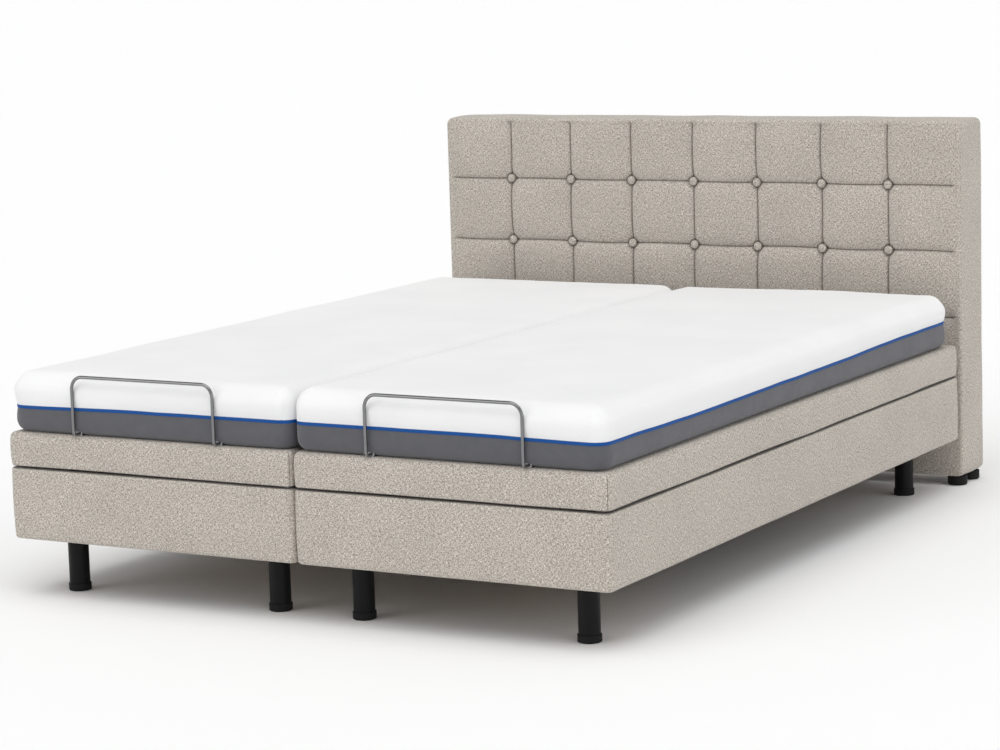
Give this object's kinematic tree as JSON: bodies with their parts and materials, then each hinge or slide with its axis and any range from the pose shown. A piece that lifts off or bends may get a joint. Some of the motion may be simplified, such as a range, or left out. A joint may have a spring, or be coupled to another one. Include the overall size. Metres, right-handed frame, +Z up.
{
  "type": "adjustable bed base",
  "caption": "Adjustable double bed: folding upholstered platforms on boxes with round legs, foam mattresses, retainer bars and a tufted headboard.",
  "frame": {"origin": "centre of the bed's outline at floor level", "axes": "+Y from the foot end to the headboard, +X to the right seen from the foot, +Z up"},
  "size_m": [1.62, 2.259, 1.002],
  "materials": {
    "fabric_greige": "melange weave",
    "mattress_knit": "white knit",
    "black_steel": "powder coat",
    "zinc_steel": "zinc plated",
    "chrome": "polished",
    "black_plastic": "moulded",
    "plywood": "raw",
    "timber": "planed"
  },
  "bodies": {
    "base": {"corner_blocks": "timber", "legs": "black_steel", "leg_glides": "black_plastic", "leg_plates": "black_steel", "frame_bolts": "zinc_steel", "hinge_pins": "zinc_steel", "control_boxes": "black_plastic", "headboard_feet": "black_plastic", "headboard_brackets": "black_steel", "connecting_bars": "black_steel", "headboard_frame": "fabric_greige", "headboard_cushion": "fabric_greige", "headboard_buttons": "fabric_greige", "base_box_left": "fabric_greige", "base_frame_left": "black_steel", "seat_pad_left": "fabric_greige", "seat_deck_left": "plywood", "seat_mattress_left": "mattress_knit", "base_box_right": "fabric_greige", "base_frame_right": "black_steel", "seat_pad_right": "fabric_greige", "seat_deck_right": "plywood", "seat_mattress_right": "mattress_knit"},
    "back_left": {"back_pad_left": "fabric_greige", "back_deck_left": "plywood", "back_mattress_left": "mattress_knit", "back_frame_left": "black_steel"},
    "thigh_left": {"thigh_pad_left": "fabric_greige", "thigh_deck_left": "plywood", "thigh_mattress_left": "mattress_knit", "thigh_frame_left": "black_steel"},
    "calf_left": {"calf_pad_left": "fabric_greige", "calf_deck_left": "plywood", "calf_mattress_left": "mattress_knit", "calf_frame_left": "black_steel", "retainer_bar_left": "chrome", "retainer_clips_left": "chrome"},
    "back_actuator_left": {"back_actuator_left": "black_plastic"},
    "back_rod_left": {"back_rod_left": "zinc_steel"},
    "leg_actuator_left": {"leg_actuator_left": "black_plastic"},
    "leg_rod_left": {"leg_rod_left": "zinc_steel"},
    "back_right": {"back_pad_right": "fabric_greige", "back_deck_right": "plywood", "back_mattress_right": "mattress_knit", "back_frame_right": "black_steel"},
    "thigh_right": {"thigh_pad_right": "fabric_greige", "thigh_deck_right": "plywood", "thigh_mattress_right": "mattress_knit", "thigh_frame_right": "black_steel"},
    "calf_right": {"calf_pad_right": "fabric_greige", "calf_deck_right": "plywood", "calf_mattress_right": "mattress_knit", "calf_frame_right": "black_steel", "retainer_bar_right": "chrome", "retainer_clips_right": "chrome"},
    "back_actuator_right": {"back_actuator_right": "black_plastic"},
    "back_rod_right": {"back_rod_right": "zinc_steel"},
    "leg_actuator_right": {"leg_actuator_right": "black_plastic"},
    "leg_rod_right": {"leg_rod_right": "zinc_steel"}
  },
  "joints": [
    {"name": "back_lift_left", "type": "hinge", "parent": "base", "child": "back_left", "pos_m": [-0.406, 0.1195, 0.386], "axis": [1, 0, 0], "range_deg": [0, 60], "deforming": ["back_mattress_left"]},
    {"name": "thigh_lift_left", "type": "hinge", "parent": "base", "child": "thigh_left", "pos_m": [-0.406, -0.1305, 0.386], "axis": [-1, 0, 0], "range_deg": [0, 35], "deforming": ["thigh_mattress_left"]},
    {"name": "knee_fold_left", "type": "hinge", "parent": "thigh_left", "child": "calf_left", "pos_m": [-0.406, -0.4705, 0.386], "axis": [1, 0, 0], "range_deg": [0, 51]},
    {"name": "back_actuator_tilt_left", "type": "hinge", "parent": "base", "child": "back_actuator_left", "pos_m": [-0.316, -0.33897, 0.25], "axis": [1, 0, 0], "range_deg": [0, 1.25]},
    {"name": "back_rod_slide_left", "type": "slide", "parent": "back_actuator_left", "child": "back_rod_left", "axis": [0, 0.9976, 0.069], "range_m": [0, 0.1105]},
    {"name": "leg_actuator_tilt_left", "type": "hinge", "parent": "base", "child": "leg_actuator_left", "pos_m": [-0.496, 0.34599, 0.25], "axis": [1, 0, 0], "range_deg": [0, 2.1]},
    {"name": "leg_rod_slide_left", "type": "slide", "parent": "leg_actuator_left", "child": "leg_rod_left", "axis": [0, -0.9965, 0.0841], "range_m": [0, 0.0645]},
    {"name": "back_lift_right", "type": "hinge", "parent": "base", "child": "back_right", "pos_m": [0.406, 0.1195, 0.386], "axis": [1, 0, 0], "range_deg": [0, 60], "deforming": ["back_mattress_right"]},
    {"name": "thigh_lift_right", "type": "hinge", "parent": "base", "child": "thigh_right", "pos_m": [0.406, -0.1305, 0.386], "axis": [-1, 0, 0], "range_deg": [0, 35], "deforming": ["thigh_mattress_right"]},
    {"name": "knee_fold_right", "type": "hinge", "parent": "thigh_right", "child": "calf_right", "pos_m": [0.406, -0.4705, 0.386], "axis": [1, 0, 0], "range_deg": [0, 51]},
    {"name": "back_actuator_tilt_right", "type": "hinge", "parent": "base", "child": "back_actuator_right", "pos_m": [0.316, -0.33897, 0.25], "axis": [1, 0, 0], "range_deg": [0, 1.25]},
    {"name": "back_rod_slide_right", "type": "slide", "parent": "back_actuator_right", "child": "back_rod_right", "axis": [0, 0.9976, 0.069], "range_m": [0, 0.1105]},
    {"name": "leg_actuator_tilt_right", "type": "hinge", "parent": "base", "child": "leg_actuator_right", "pos_m": [0.496, 0.34599, 0.25], "axis": [1, 0, 0], "range_deg": [0, 2.1]},
    {"name": "leg_rod_slide_right", "type": "slide", "parent": "leg_actuator_right", "child": "leg_rod_right", "axis": [0, -0.9965, 0.0841], "range_m": [0, 0.0645]}
  ],
  "couplings": [
    {"joint": "knee_fold_left", "follows": "thigh_lift_left", "ratio": 1.45},
    {"joint": "back_actuator_tilt_left", "follows": "back_lift_left", "ratio": 0.02032},
    {"joint": "back_rod_slide_left", "follows": "back_lift_left", "m_per_rad": 0.10517},
    {"joint": "leg_actuator_tilt_left", "follows": "thigh_lift_left", "ratio": 0.05916},
    {"joint": "leg_rod_slide_left", "follows": "thigh_lift_left", "m_per_rad": 0.10475},
    {"joint": "knee_fold_right", "follows": "thigh_lift_right", "ratio": 1.45},
    {"joint": "back_actuator_tilt_right", "follows": "back_lift_right", "ratio": 0.02032},
    {"joint": "back_rod_slide_right", "follows": "back_lift_right", "m_per_rad": 0.10517},
    {"joint": "leg_actuator_tilt_right", "follows": "thigh_lift_right", "ratio": 0.05916},
    {"joint": "leg_rod_slide_right", "follows": "thigh_lift_right", "m_per_rad": 0.10475}
  ]
}
